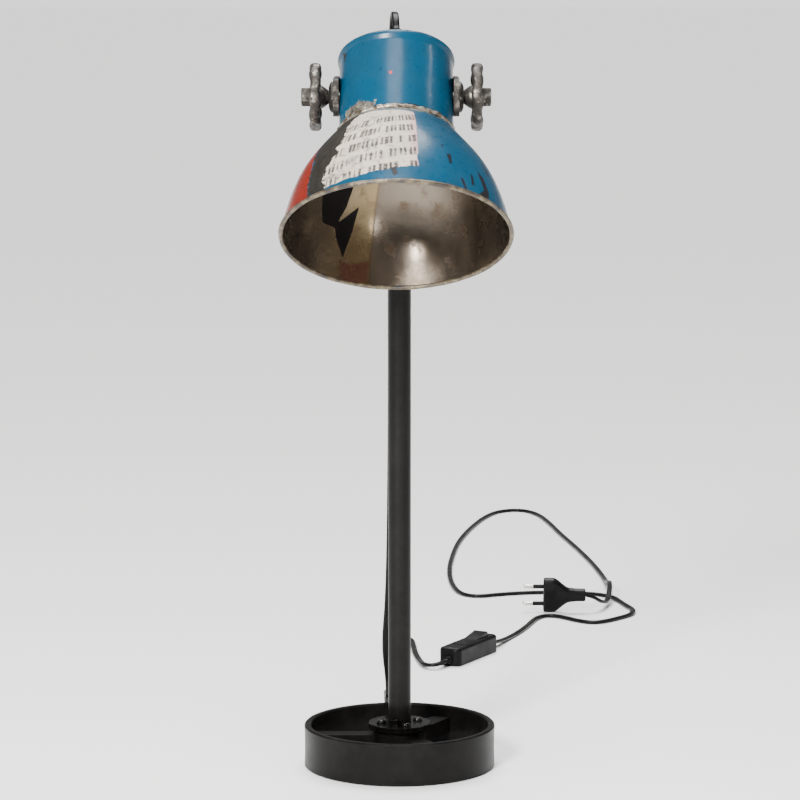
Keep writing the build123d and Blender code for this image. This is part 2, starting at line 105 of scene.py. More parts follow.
class LampSizes(bpy.types.PropertyGroup):
    sheet: length("Sheet", "Thickness of the drum sheet", 1.0)
    dent: length("Dent", "How far the sheet's dents and waves stand off its true shape", 0.28)
    cap_radius: length("Cap radius", "Outer radius of the shade's cap", 41.2)
    lip_radius: length("Lip radius", "Outer radius of the lip round the cap's top", 42.6)
    rim_bead: length("Rim bead", "Radius of the rolled edge round the shade's mouth", 1.6)
    neck_bead: length("Neck bead", "Radius of the brazed bead between cap and bell", 1.7)
    wheel_radius: length("Handwheel radius", "Outer radius of a handwheel", 24.6)
    wheel_inner: length("Handwheel inner radius", "Inner radius of a handwheel's rim", 17.0)
    wheel_lobes: IntProperty(name="Handwheel lobes", description="Waves round a rim", default=8, min=3)
    lead_width: length("Lead width", "Width of the flat lead", 5.2)
    lead_thickness: length("Lead thickness", "Thickness of the flat lead", 3.2)
    plug_width: length("Plug width", "Width of the plug's face", 35.3)
    plug_depth: length("Plug depth", "Thickness of the plug's face", 13.7)
    camera_distance: length("Camera distance", "From the camera to the pole, level", 2386.2)
    camera_height: length("Camera height", "Height of the camera above the floor", 582.1)


class LampColours(bpy.types.PropertyGroup):
    blue: colour("Drum blue", "Gloss enamel on the cap and the bell", "033C55")
    red: colour("Drum red", "Second enamel at the bell's left side", "781805")
    label: colour("Label", "Pale printed label left on the sheet", "BDB0A2")
    steel: colour("Bare steel", "Sheet steel inside the shade", "685F54")
    rust: colour("Rust", "Thin rust along worn edges", "7A4A2B")
    iron: colour("Cast iron", "Raw cast iron of the handwheels", "4A4540")
    paint: colour("Black paint", "Paint on the foot and the pole", "0B0A09")
    plastic: colour("Black plastic", "Switch, plug and boot", "0B0A0A")
    lead: colour("Lead", "The lead's outer sheath", "0C0B0B")
    floor: colour("Floor", "The pale floor", "F4F4F3")


def sizes():
    return bpy.context.scene.lamp_sizes


def colours():
    return bpy.context.scene.lamp_colours


# ---------------------------------------------------------------- surfaces


def grid_faces(rows, columns, wrap_rows):
    """Quads between neighbouring points of a grid whose columns go round, and whose rows may too."""
    last_row = rows if wrap_rows else rows - 1
    i, j = np.meshgrid(np.arange(last_row), np.arange(columns), indexing="ij")
    below = (i + 1) % rows
    beside = (j + 1) % columns
    corners = (i * columns + j, below * columns + j, below * columns + beside, i * columns + beside)
    return np.stack(corners, axis=-1).reshape(-1, 4)


def six_volumes(points, quads):
    """Six times the space that closed quads hold: positive where they face outwards."""
    a, b, c, d = (points[quads[:, k]] for k in range(4))
    first = np.einsum("ij,ij->i", a, np.cross(b, c))
    second = np.einsum("ij,ij->i", a, np.cross(c, d))
    return float((first + second).sum())


def shell(surface, wrap_rows=False, values=None):
    """A closed shell from a grid of points, shape (rows, columns, 3). Rows that don't wrap are closed
    at each end by a fan of quads to the end ring's middle, and faces are turned to point outwards."""
    rows, columns = surface.shape[:2]
    points = surface.reshape(-1, 3)
    quads = grid_faces(rows, columns, wrap_rows)
    extra = {key: value.reshape(-1) for key, value in (values or {}).items()}
    if not wrap_rows:
        middles = np.array([surface[0].mean(axis=0), surface[-1].mean(axis=0)])
        count = len(points)
        j = np.arange(columns)
        after = (j + 1) % columns
        middle = np.full(columns, count)
        first = np.stack([after, j, middle, middle], axis=-1)
        end = (rows - 1) * columns
        last = np.stack([end + j, end + after, middle + 1, middle + 1], axis=-1)
        points = np.concatenate([points, middles])
        quads = np.concatenate([quads, first, last])
        extra = {key: np.concatenate([v, [v[0], v[-1]]]) for key, v in extra.items()}
    if six_volumes(points - points.mean(axis=0), quads) < 0:
        quads = quads[:, ::-1]
    return points, quads, extra


def piece(name, shells, materials, slots=None):
    """One smooth-shaded mesh object made of closed shells. A fan's quads have their last corner twice
    and become triangles. Values given per point become float attributes of the mesh."""
    counts = np.cumsum([0] + [len(points) for points, _, _ in shells])
    points = np.concatenate([part[0] for part in shells])
    quads = np.concatenate([part[1] + start for part, start in zip(shells, counts)])
    degenerate = (quads[:, 2] == quads[:, 3]) | (quads[:, 0] == quads[:, 1])
    turned = np.where((quads[:, 0] == quads[:, 1])[:, None], quads[:, [0, 2, 3, 3]], quads)
    sides = np.where(degenerate, 3, 4)
    keep = np.ones(turned.shape, bool)
    keep[:, 3] = ~degenerate
    corner_points = turned[keep]
    mesh = bpy.data.meshes.new(name)
    mesh.vertices.add(len(points))
    mesh.vertices.foreach_set("co", points.astype(np.float32).ravel())
    mesh.loops.add(len(corner_points))
    mesh.loops.foreach_set("vertex_index", corner_points.astype(np.int32))
    mesh.polygons.add(len(sides))
    starts = np.concatenate([[0], np.cumsum(sides)[:-1]])
    mesh.polygons.foreach_set("loop_start", starts.astype(np.int32))
    if slots is not None:
        mesh.polygons.foreach_set("material_index", slots.astype(np.int32))
    mesh.update(calc_edges=True)
    mesh.validate()
    mesh.polygons.foreach_set("use_smooth", np.ones(len(mesh.polygons), bool))
    for key in shells[0][2]:
        layer = mesh.attributes.new(key, "FLOAT", "POINT")
        layer.data.foreach_set("value", np.concatenate([part[2][key] for part in shells]).astype(np.float32))
    for material in materials:
        mesh.materials.append(material)
    obj = bpy.data.objects.new(name, mesh)
    bpy.context.scene.collection.objects.link(obj)
    return obj


def turned(profile, segments, origin, axis, outward, offset=None):
    """A surface of revolution: each profile point, a radius and a height along the axis, goes round the
    axis in even steps. offset, one value per point and step, is added to the radius."""
    angle = full_turn(segments)
    sideways = np.cross(axis, outward)
    ray = np.cos(angle)[:, None] * outward + np.sin(angle)[:, None] * sideways
    radius = np.broadcast_to(profile[:, 0][:, None], (len(profile), segments))
    if offset is not None:
        radius = radius + offset
    height = profile[:, 1][:, None, None] * axis
    return origin + height + radius[..., None] * ray


def rounded(corners, radii, steps=6):
    """A closed outline through corners, each replaced by an arc: points on a quadratic curve that
    starts and ends a radius away from the corner along its two sides."""
    corners = np.asarray(corners, float)
    before = np.roll(corners, 1, axis=0) - corners
    after = np.roll(corners, -1, axis=0) - corners
    radii = np.asarray(radii, float)[:, None]
    start = corners + before / np.linalg.norm(before, axis=1)[:, None] * radii
    end = corners + after / np.linalg.norm(after, axis=1)[:, None] * radii
    t = np.linspace(0, 1, steps)[None, :, None]
    curve = (1 - t) ** 2 * start[:, None] + 2 * t * (1 - t) * corners[:, None] + t**2 * end[:, None]
    return curve.reshape(-1, 2)


def full_turn(steps):
    return np.linspace(0, 2 * math.pi, steps, endpoint=False)


def squared(angle, power):
    """Cosine and sine of a super-ellipse: a smaller power gives squarer corners."""
    both = np.cos(angle), np.sin(angle)
    return [np.sign(part) * np.abs(part) ** power for part in both]


def bezier(points, count):
    """Evenly stepped points on a cubic Bezier curve."""
    a, b, c, d = (np.asarray(point, float) for point in points)
    t = np.linspace(0, 1, count)[:, None]
    return (1 - t) ** 3 * a + 3 * (1 - t) ** 2 * t * b + 3 * (1 - t) * t**2 * c + t**3 * d


def smoothstep(low, high, value):
    t = np.clip((value - low) / (high - low), 0, 1)
    return t * t * (3 - 2 * t)


def depth_inside(points, corners):
    """Signed distance in from the edges of a polygon with any corners, positive inside: the distance to
    the nearest edge, with its sign from how often a ray to the side crosses the edges."""
    start = np.asarray(corners, float)
    step = np.roll(start, -1, axis=0) - start
    flat = points.reshape(-1, 1, 2)
    along = np.clip(((flat - start) * step).sum(-1) / (step**2).sum(-1), 0, 1)
    nearest = np.linalg.norm(flat - start - along[..., None] * step, axis=-1).min(axis=1)
    above = (flat[..., 1] < start[:, 1]) != (flat[..., 1] < (start + step)[:, 1])
    rise = np.where(step[:, 1] == 0, 1e-9, step[:, 1])
    crossing = start[:, 0] + (flat[..., 1] - start[:, 1]) * step[:, 0] / rise
    inside = (above & (flat[..., 0] < crossing)).sum(axis=1) % 2 == 1
    return np.where(inside, nearest, -nearest).reshape(points.shape[:-1])


# ---------------------------------------------------------------- materials

# How far a patch's edge takes to go from none to full
EDGE_SOFTNESS = 0.35 * MM


def scaled(tone, share):
    return tuple(c * share for c in tone)


def rgba(tone):
    """Red, green, blue and 1, from a hex colour, three linear values or one grey value."""
    if isinstance(tone, str):
        tone = linear(tone)
    return (*tone, 1) if isinstance(tone, tuple) else (tone, tone, tone, 1)


def add(owner, kind, settings=None, **links):
    """One node of a material or a world with its settings, and a link or a value for each named or
    numbered input."""
    node = owner.node_tree.nodes.new(kind)
    for key, value in (settings or {}).items():
        setattr(node, key, value)
    for key, value in links.items():
        socket = node.inputs[int(key[1:])] if key[1:].isdigit() else node.inputs[key.replace("_", " ")]
        if isinstance(value, bpy.types.NodeSocket):
            owner.node_tree.links.new(value, socket)
        elif socket.type == "RGBA":
            socket.default_value = rgba(value)
        else:
            socket.default_value = value
    return node


class Shading:
    """A material in the making: one Principled shader with its plain values, object coordinates in
    metres, and the nodes that feed the shader."""

    def __init__(self, name, **values):
        self.material = bpy.data.materials.new(name)
        self.material.use_nodes = True
        self.material.node_tree.nodes.clear()
        self.shader = add(self.material, "ShaderNodeBsdfPrincipled", **values)
        add(self.material, "ShaderNodeOutputMaterial", Surface=self.shader.outputs[0])
        self.where = add(self.material, "ShaderNodeTexCoord").outputs["Object"]

    def feed(self, **sources):
        """Links a source to each named input of the shader."""
        for name, source in sources.items():
            self.material.node_tree.links.new(source, self.shader.inputs[name.replace("_", " ")])

    def noise(self, millimetres, detail, roughness=0.55):
        """Noise whose blotches are about that many millimetres across."""
        values = {"Scale": 1 / (millimetres * MM), "Detail": detail, "Roughness": roughness}
        return add(self.material, "ShaderNodeTexNoise", Vector=self.where, **values).outputs["Fac"]

    def attribute(self, name):
        return add(self.material, "ShaderNodeAttribute", {"attribute_name": name}).outputs["Fac"]

    def ramp(self, value, *stops):
        """A value or a colour for each stop of an input, straight between stops."""
        node = add(self.material, "ShaderNodeValToRGB", Fac=value)
        elements = node.color_ramp.elements
        for extra in range(len(stops) - 2):
            elements.new(0.5)
        for element, (position, tone) in zip(elements, stops):
            element.position = position
            element.color = rgba(tone)
        return node.outputs["Color"]

    def maths(self, operation, clamp=False, **values):
        settings = {"operation": operation, "use_clamp": clamp}
        return add(self.material, "ShaderNodeMath", settings, **values).outputs[0]

    def plus(self, a, b):
        return self.maths("ADD", i0=a, i1=b)

    def times(self, a, b):
        return self.maths("MULTIPLY", i0=a, i1=b)

    def larger(self, a, b):
        return self.maths("MAXIMUM", i0=a, i1=b)

    def rest(self, share):
        """What a share leaves of one whole."""
        return self.maths("SUBTRACT", clamp=True, i0=1.0, i1=share)

    def mix(self, factor, first, second):
        node = add(self.material, "ShaderNodeMix", {"data_type": "RGBA"}, i0=factor, i6=first, i7=second)
        return node.outputs[2]

    def cover(self, tone, *covers):
        """A tone with covers laid over it one by one, each a share and a colour."""
        for share, colour_over in covers:
            tone = self.mix(share, tone, colour_over)
        return tone

    def bump(self, height, millimetres, strength):
        values = {"Height": height, "Distance": millimetres * MM, "Strength": strength}
        self.feed(Normal=add(self.material, "ShaderNodeBump", **values).outputs[0])

    def edge(self, name, ragged, millimetres):
        """1 where a depth in metres, roughened by noise, is over 0, and 0 outside, with a soft step."""
        rough = self.maths("MULTIPLY_ADD", i0=ragged, i1=2 * millimetres * MM, i2=-millimetres * MM)
        moved = self.plus(self.attribute(name), rough)
        return self.maths("ADD", clamp=True, i0=self.times(moved, 1 / EDGE_SOFTNESS), i1=0.5)


def worn_enamel():
    """Stoved gloss enamel on drum sheet: it reads as deep smooth colour with sharp highlights, cut away
    to grey steel and thin rust where the sheet was bent, brazed or rubbed, over a pale printed label."""
    make = Shading("worn_gloss_enamel", Specular_IOR_Level=0.16, Coat_IOR=1.3, Coat_Roughness=0.16)
    tones = colours()
    broad = make.noise(22, detail=4)
    middle = make.noise(5, detail=5, roughness=0.65)
    fine = make.noise(1.1, detail=4, roughness=0.7)
    speck = make.noise(2.4, detail=2, roughness=0.5)

    blue = make.mix(broad, scaled(tones.blue, 0.72), scaled(tones.blue, 1.18))
    red = make.mix(middle, scaled(tones.red, 0.6), tuple(tones.red))
    paint = make.mix(make.edge("red_depth", middle, 5), blue, red)

    in_label = make.edge("label_depth", middle, 2.2)
    paper = make.mix(middle, scaled(tones.label, 0.82), tuple(tones.label))
    stain = make.ramp(make.attribute("label_across"), (0.0, 0.0), (0.84, 0.0), (0.95, 0.8))
    stained = make.times(stain, make.ramp(middle, (0.36, 0.2), (0.56, 1.0)))
    bars = make.times(make.attribute("label_bars"), make.ramp(fine, (0.3, 0.45), (0.5, 1.0)))
    faded = make.times(bars, make.ramp(middle, (0.34, 0.35), (0.48, 1.0)))
    smear = make.ramp(make.attribute("label_across"), (0.0, 1.0), (0.35, 0.75), (1.0, 0.25))
    smear = make.times(smear, make.ramp(middle, (0.5, 0.0), (0.66, 0.9)))
    paper = make.cover(paper, (stained, "B98A92"), (faded, "2E2926"), (smear, "3B3733"))
    paint = make.mix(in_label, paint, paper)

    bare = make.mix(middle, "0E0C0B", "3B3630")
    # Lighter bare steel by the brazed neck and in the cap's scrape: partly pale scraped metal, partly a painted
    # highlight
    bright = make.ramp(middle, (0.38, "45423C"), (0.6, "938D80"))
    grit = make.ramp(fine, (0.45, 0.0), (0.7, 0.8))
    bare = make.cover(bare, (make.attribute("scrape_and_painted_highlight"), bright), (grit, "2B2724"))
    in_scrape = make.edge("scrape_depth", middle, 7)
    rubbed_edge = make.edge("edge_depth", middle, 3.4)
    chips = make.ramp(speck, (0.765, 0.0), (0.79, 1.0))
    off = make.larger(make.larger(in_scrape, rubbed_edge), chips)
    rusty = make.ramp(make.plus(middle, make.attribute("rust")), (0.55, 0.0), (0.85, 0.9))
    metal_tone = make.mix(rusty, bare, make.mix(fine, tuple(tones.rust), "A8643A"))
    look = make.mix(off, paint, metal_tone)

    scratch = make.edge("scratch_depth", fine, 1.1)
    dot = make.edge("dot_depth", fine, 0.3)
    grime = make.ramp(make.noise(60, detail=6, roughness=0.7), (0.42, 0.0), (0.72, 0.3))
    look = make.cover(look, (scratch, "17161A"), (dot, "A3252B"), (grime, "24302F"))

    painted = make.rest(off)
    glossy = make.times(painted, make.rest(in_label))
    gloss = make.ramp(middle, (0.3, 0.24), (0.7, 0.4))
    dull = make.plus(make.times(off, 0.28), make.times(in_label, 0.3))
    make.feed(Base_Color=look, Metallic=make.times(off, 0.55), Coat_Weight=make.times(glossy, 0.28))
    make.feed(Roughness=make.plus(gloss, dull))
    layer = make.plus(make.times(painted, 0.6), make.times(middle, 0.35))
    layer = make.plus(layer, make.times(in_label, 0.4))
    make.bump(layer, 0.28, 0.6)
    return make.material


def bare_sheet():
    """Cold-rolled drum steel, never painted inside: it reads as warm silver with broad soft highlights,
    oil stains and rust spots, a lapped seam, and dark patches left from the drum's print."""
    make = Shading("bare_rolled_steel", Specular_IOR_Level=0.1)
    tones = colours()
    broad = make.noise(26, detail=5, roughness=0.6)
    middle = make.noise(6, detail=5, roughness=0.65)
    fine = make.noise(0.9, detail=3)
    base = make.mix(broad, scaled(tones.steel, 0.62), scaled(tones.steel, 1.35))
    tan = make.ramp(make.attribute("seam_side"), (0.0, 0.0), (1.0, 0.55))
    stain = make.ramp(make.noise(11, detail=4, roughness=0.5), (0.54, 0.0), (0.72, 0.6))
    maroon = make.times(make.edge("maroon_depth", middle, 6), 0.6)
    dark = make.edge("print_depth", fine, 0.7)
    seam = make.attribute("seam")
    base = make.cover(base, (tan, "8A7650"), (stain, "4A3626"), (maroon, "5E2F33"), (dark, "080504"))
    base = make.mix(make.times(seam, 0.7), base, "5A4A36")
    rough = make.ramp(broad, (0.3, 0.17), (0.7, 0.3))
    rough = make.plus(rough, make.times(stain, 0.25))
    rough = make.plus(rough, make.times(dark, 0.3))
    metal = make.maths("SUBTRACT", i0=0.92, i1=make.times(dark, 0.9))
    make.feed(Base_Color=base, Metallic=metal, Roughness=rough)
    make.bump(make.plus(middle, make.times(seam, 1.5)), 0.12, 0.5)
    return make.material


def brazed_bead():
    """Brazing filed back by hand: it reads as lumpy silver and bronze, bright on top, brown in the dips."""
    make = Shading("filed_brazing")
    lumps = make.noise(5, detail=4)
    grain = make.noise(0.8, detail=3)
    tone = make.ramp(
        lumps,
        (0.3, "33271E"),
        (0.42, "5F5344"),
        (0.56, "9C978A"),
        (0.78, "4A3C2E"),
    )
    make.feed(Base_Color=tone)
    make.feed(Metallic=make.ramp(lumps, (0.3, 0.55), (0.6, 0.92)))
    make.feed(Roughness=make.ramp(grain, (0.3, 0.3), (0.7, 0.5)))
    make.bump(make.plus(lumps, make.times(grain, 0.3)), 0.5, 0.7)
    return make.material


def worn_rolled_edge():
    """The bell's rolled edge: enamel rubbed through to steel and a coppery line of rust on its crest."""
    make = Shading("rubbed_rolled_edge")
    tones = colours()
    patches = make.noise(9, detail=5, roughness=0.65)
    grain = make.noise(1.2, detail=4)
    tone = make.ramp(
        patches,
        (0.3, scaled(tones.blue, 0.4)),
        (0.4, "2E241B"),
        (0.5, "4F4638"),
        (0.58, "756B56"),
        (0.68, "40281A"),
    )
    tone = make.mix(make.ramp(grain, (0.5, 0.0), (0.75, 0.7)), tone, "43342A")
    make.feed(Base_Color=tone)
    make.feed(Metallic=make.ramp(patches, (0.4, 0.1), (0.52, 0.5)))
    make.feed(Roughness=make.ramp(grain, (0.3, 0.34), (0.7, 0.55)))
    make.bump(make.plus(patches, grain), 0.25, 0.5)
    return make.material


def raw_casting(name, tone, light):
    """Raw sand-cast iron, handled and oiled: it reads as mottled brown-grey, grainy, with bright
    burnished high spots."""
    make = Shading(name)
    mottle = make.noise(4.5, detail=5, roughness=0.65)
    grain = make.noise(0.7, detail=3, roughness=0.6)
    base = make.mix(make.ramp(mottle, (0.36, 0.0), (0.62, 1.0)), scaled(tone, 0.35), tuple(tone))
    burnished = make.ramp(mottle, (0.54, 0.0), (0.66, 0.9))
    oily = make.ramp(grain, (0.58, 0.0), (0.75, 0.6))
    base = make.cover(base, (burnished, light), (oily, "2E2019"))
    make.feed(Base_Color=base)
    make.feed(Metallic=make.ramp(mottle, (0.35, 0.55), (0.65, 0.9)))
    make.feed(Roughness=make.ramp(mottle, (0.35, 0.62), (0.68, 0.36)))
    make.bump(make.plus(mottle, make.times(grain, 0.5)), 0.45, 0.8)
    return make.material


def stoved_paint(name, tone, roughness, coat):
    """Black stoving paint on metal: it reads as near-black with long soft highlights, faint orange peel
    and a little dust."""
    make = Shading(name, Specular_IOR_Level=0.08, Coat_Weight=coat, Coat_Roughness=0.1)
    peel = make.noise(1.6, detail=2)
    dust = make.noise(30, detail=6, roughness=0.7)
    base = make.mix(make.ramp(dust, (0.45, 0.0), (0.75, 0.5)), tuple(tone), "1E1D1B")
    make.feed(Base_Color=base)
    make.feed(Roughness=make.ramp(dust, (0.35, roughness - 0.05), (0.7, roughness + 0.1)))
    make.bump(peel, 0.05, 0.5)
    return make.material


def moulded_plastic(name, tone, roughness, grain_size):
    """Injection-moulded plastic: it reads as an even dark skin with a fine spark-eroded grain and a
    slight greasy shine where it is handled."""
    make = Shading(name, Specular_IOR_Level=0.12)
    grain = make.noise(grain_size, detail=2)
    handled = make.noise(18, detail=4)
    base = make.mix(handled, scaled(tone, 0.8), scaled(tone, 1.25))
    make.feed(Base_Color=base)
    make.feed(Roughness=make.ramp(handled, (0.35, roughness - 0.08), (0.7, roughness + 0.08)))
    make.bump(grain, 0.06, 0.5)
    return make.material


def plated_metal(name, tone, roughness, dull_tone):
    """Plated or drawn metal with a dulled film: it reads as soft metal shine with cloudy tarnish."""
    make = Shading(name, Metallic=1.0)
    cloud = make.noise(3, detail=5, roughness=0.65)
    base = make.mix(make.ramp(cloud, (0.42, 0.0), (0.68, 0.85)), tone, dull_tone)
    make.feed(Base_Color=base)
    make.feed(Roughness=make.ramp(cloud, (0.35, roughness), (0.7, roughness + 0.22)))
    make.bump(make.noise(0.6, detail=2), 0.03, 0.4)
    return make.material


def steatite():
    """Unglazed steatite ceramic: dense, off-white, with small grey specks."""
    make = Shading("fired_steatite", IOR=1.6, Roughness=0.5)
    speck = make.noise(1.0, detail=3)
    tone = make.mix(make.ramp(speck, (0.6, 0.0), (0.75, 0.8)), "E2DED3", "A39E92")
    make.feed(Base_Color=tone)
    make.bump(speck, 0.05, 0.4)
    return make.material


def dress(material, *nodes):
    """Gives measured nodes their material."""
    for node in nodes:
        mesh = frame["nodes"][node].data
        mesh.materials.clear()
        mesh.materials.append(material)


# ---------------------------------------------------------------- camera, light and floor

LENS = 143.85
FURTHEST_SEEN = 400
CAMERA_ASIDE = 0.34 * MM
CAMERA_LOOKS_DOWN = math.radians(7.216)
FLOOR_REACH = 150.0

# The studio's light by height: strong in a low band at the horizon, weak above it
FADE_START, FADE_END = 0.02, 0.12
BAND_LIGHT, ROOM_LIGHT = 1.5, 0.22

SKY_POWER = 4.8
SKY_SPREAD = math.radians(38)
SKY_LEAN = math.radians(-24)

# Each area light's place in metres, its width and its power; all aim at one point and stand taller
# than they are wide
LIGHTS = (
    ("overhead", (-0.1, -1.0, 2.4), 0.9, 40),
    ("key", (-0.8, -2.0, 1.33), 0.42, 125),
    ("strip", (1.7, 0.1, 1.75), 0.16, 4),
    ("front_strip", (0.95, -2.2, 0.55), 0.2, 5),
)
LIGHT_AIM = Vector((0, -0.06, 0.35))
LIGHT_HEIGHT = 1.3


def put(name, data, location=(0, 0, 0), rotation=(0, 0, 0)):
    """An object of that data, in the scene."""
    obj = bpy.data.objects.new(name, data)
    obj.location = location
    obj.rotation_euler = rotation
    bpy.context.scene.collection.objects.link(obj)
    return obj


class StageOperator(bpy.types.Operator):
    """Camera, soft studio light and a pale floor"""

    bl_idname = "bell_lamp.stage"
    bl_label = "Stage"

    def execute(self, context):
        size = sizes()
        data = bpy.data.cameras.new("camera")
        data.lens = LENS
        data.sensor_width = 36
        data.clip_end = FURTHEST_SEEN
        viewpoint = (CAMERA_ASIDE, -size.camera_distance, size.camera_height)
        tilt = math.radians(90) - CAMERA_LOOKS_DOWN
        context.scene.camera = put("camera", data, viewpoint, (tilt, 0, 0))
        self.make_floor()
        self.make_studio(context)
        return {"FINISHED"}

    def make_floor(self):
        make = Shading("pale_floor", Roughness=0.6, IOR=1.3)
        tone = tuple(colours().floor)
        make.feed(Base_Color=make.mix(make.noise(400, detail=2), scaled(tone, 0.985), tone))
        mesh = bpy.data.meshes.new("floor")
        corners = [(x * FLOOR_REACH, y * FLOOR_REACH, 0) for x, y in ((-1, -1), (1, -1), (1, 1), (-1, 1))]
        mesh.from_pydata(corners, [], [(0, 1, 2, 3)])
        mesh.materials.append(make.material)
        floor = put("floor", mesh)

    def make_studio(self, context):
        world = bpy.data.worlds.new("studio")
        world.use_nodes = True
        background = world.node_tree.nodes["Background"]
        where = add(world, "ShaderNodeTexCoord").outputs["Generated"]
        height = add(world, "ShaderNodeSeparateXYZ", i0=where).outputs["Z"]
        band = {"i1": FADE_START, "i2": FADE_END, "i3": BAND_LIGHT, "i4": ROOM_LIGHT}
        glow = add(world, "ShaderNodeMapRange", {"interpolation_type": "SMOOTHSTEP"}, i0=height, **band)
        background.inputs[0].default_value = (1, 1, 1, 1)
        world.node_tree.links.new(glow.outputs[0], background.inputs[1])
        context.scene.world = world

        sun = bpy.data.lights.new("sky", "SUN")
        sun.energy = SKY_POWER
        sun.angle = SKY_SPREAD
        put("sky", sun, rotation=(SKY_LEAN, 0, 0))
        for name, position, width, power in LIGHTS:
            light = bpy.data.lights.new(name, "AREA")
            light.shape = "RECTANGLE"
            light.size = width
            light.size_y = width * LIGHT_HEIGHT
            light.energy = power
            put(name, light, position, (LIGHT_AIM - Vector(position)).to_track_quat("-Z", "Y").to_euler())


# ---------------------------------------------------------------- lead

# Height of the lead's middle where it lies on the floor, in millimetres
FLOOR = 1.9


def on_floor(*points):
    return [(x, y, FLOOR) for x, y in points]


# Both routes in millimetres: out of the boot, over the cap, down behind the pole, out over the foot's
# rim, away along the floor, then back and up into the switch
LAMP_SIDE_ROUTE = [
    *((-2.4, -30.031, 557.231), (-2.8, -23, 568.4), (-4.5, 1.5, 569), (-5.5, 18.5, 551.5)),
    *((-5.8, 21, 508), (-6, 18.5, 446), (-6.5, 17.5, 378), (-6.3, 17, 308), (-6.6, 17.5, 240)),
    *((-7.2, 18, 176), (-8.5, 19, 124), (-11.5, 20, 88), (-8, 26, 58), (-8.5, 48, 41)),
    *((-9.5, 66, 39.5), (-10, 84, 39), (-9.5, 104, 24), (-9, 126, 5)),
    *on_floor((-8, 154), (-7.5, 208), (-8, 268), (-9, 326), (-11.2, 382), (-13, 434), (-12.5, 474)),
    *on_floor((9.5, 474), (12.3, 444), (13.5, 408), (17.5, 372)),
    *((22, 345, 3.5), (34.5, 341, 5), (40.813, 354.333, 6)),
]

# Out of the switch, round behind the plug, out in a wide loop, then over itself and into the plug
PLUG_SIDE_ROUTE = [
    *((81.187, 430.267, 6), (88, 443, 4.5)),
    *on_floor((98, 470), (111, 504), (120, 535), (126, 560), (134, 577), (146, 579), (157, 567)),
    *on_floor((168, 553), (181, 544), (194, 553), (206, 567), (219, 584), (223, 606), (217, 629)),
    *on_floor((212, 652), (208, 671), (196, 686), (178, 694), (149, 698.5), (121, 695), (96, 686)),
    *on_floor((78, 676), (63, 683), (55, 710), (50.5, 762), (50.5, 832), (55, 902), (60.5, 968)),
    *on_floor((70, 1036), (82, 1098), (96, 1155), (112, 1194), (138, 1205), (156, 1174), (166, 1112)),
    *on_floor((174, 1042), (184, 974), (193, 906), (200, 842), (204.5, 784)),
    *((206, 742, FLOOR + 1), (205.5, 700, 12.5), (203.5, 660, 12.5), (199, 630, 5)),
    *((192, 610, 9), (184.5, 603.6, 15), (176.5, 603.106, 16.999)),
]


# How many sides the lead's section has, and how deep the groove between its two cores is, as a share
LEAD_SIDES = 32
GROOVE_DEPTH = 0.16


def smooth_line(name, route):
    """Points on the NURBS spline whose control points are the route's points, read in metres."""
    data = bpy.data.curves.new(name, "CURVE")
    data.dimensions = "3D"
    data.resolution_u = 8
    spline = data.splines.new("NURBS")
    spline.points.add(len(route) - 1)
    for point, place_mm in zip(spline.points, route):
        point.co = (*(value * MM for value in place_mm), 1)
    spline.order_u = 3
    spline.use_endpoint_u = True
    curve = bpy.data.objects.new(name, data)
    mesh = bpy.data.meshes.new_from_object(curve)
    line = np.empty(len(mesh.vertices) * 3)
    mesh.vertices.foreach_get("co", line)
    bpy.data.meshes.remove(mesh)
    bpy.data.objects.remove(curve)
    bpy.data.curves.remove(data)
    return line.reshape(-1, 3)


def flat_lead(name, route):
    """Flat twin flex carried along its route. Its section is two round cores side by side under one
    sheath: across, a point lies at the core's offset plus its radius; up, at its radius less a shallow
    groove between the cores. The section stays level on the floor and faces forward where it hangs."""
    size = sizes()
    line = smooth_line(name, route)
    tangent = np.gradient(line, axis=0)
    tangent /= np.linalg.norm(tangent, axis=1)[:, None]
    hanging = smoothstep(0.012, 0.05, line[:, 2])[:, None] * (line[:, 1] < 0.3)[:, None]
    level = np.cross(tangent, [0, 0, 1.0])
    wide = (1 - hanging) * level + hanging * np.array([1.0, 0, 0])
    wide -= (wide * tangent).sum(axis=1)[:, None] * tangent
    wide /= np.linalg.norm(wide, axis=1)[:, None]
    thin = np.cross(wide, tangent)
    core = size.lead_thickness / 2
    spread = size.lead_width / 2 - core
    angle = full_turn(LEAD_SIDES)
    across = spread * np.tanh(3 * np.cos(angle)) + core * np.cos(angle)
    groove = 1 - GROOVE_DEPTH * np.exp(-((across / (0.35 * spread)) ** 2))
    up = core * np.sin(angle) * groove
    surface = line[:, None] + across[None, :, None] * wide[:, None] + up[None, :, None] * thin[:, None]
    return surface, line


class LeadOperator(bpy.types.Operator):
    """The flat mains lead, in two lengths with the switch between them"""

    bl_idname = "bell_lamp.lead"
    bl_label = "Lead"

    def execute(self, context):
        skin = moulded_plastic("extruded_pvc_sheath", tuple(colours().lead), 0.34, 0.8)
        lead_rows = (
            ("lamp_lead", LAMP_SIDE_ROUTE, "lead_lamp_side", "fitting", "hanging"),
            ("plug_lead", PLUG_SIDE_ROUTE, "lead_plug_side", "plug", "loose"),
        )
        for name, route, node, far_end, lay in lead_rows:
            surface, line = flat_lead(name, route)
            lead = piece(name, [shell(surface)], [skin])
            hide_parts(node)
            if name == "lamp_lead":
                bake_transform(lead)
            else:
                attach(lead, "stand")
        return {"FINISHED"}


# ---------------------------------------------------------------- shade

# The bell's outer line as the corners of a cubic curve, each a radius and a place along the shade's
# axis, and the cap's own places along it: 0 is at the tilt axis and the mouth's side is positive
BELL = np.array([(41.7, 31.8), (56.9, 53.7), (73.5, 64.8), (82.1, 113.3)]) * MM
CAP_TOP = -33.5 * MM
CAP_LIP = -29.5 * MM
CAP_BOTTOM = 30 * MM
FLARE_START = CAP_LIP + 5 * MM
TOP_HOLE = 5.2 * MM

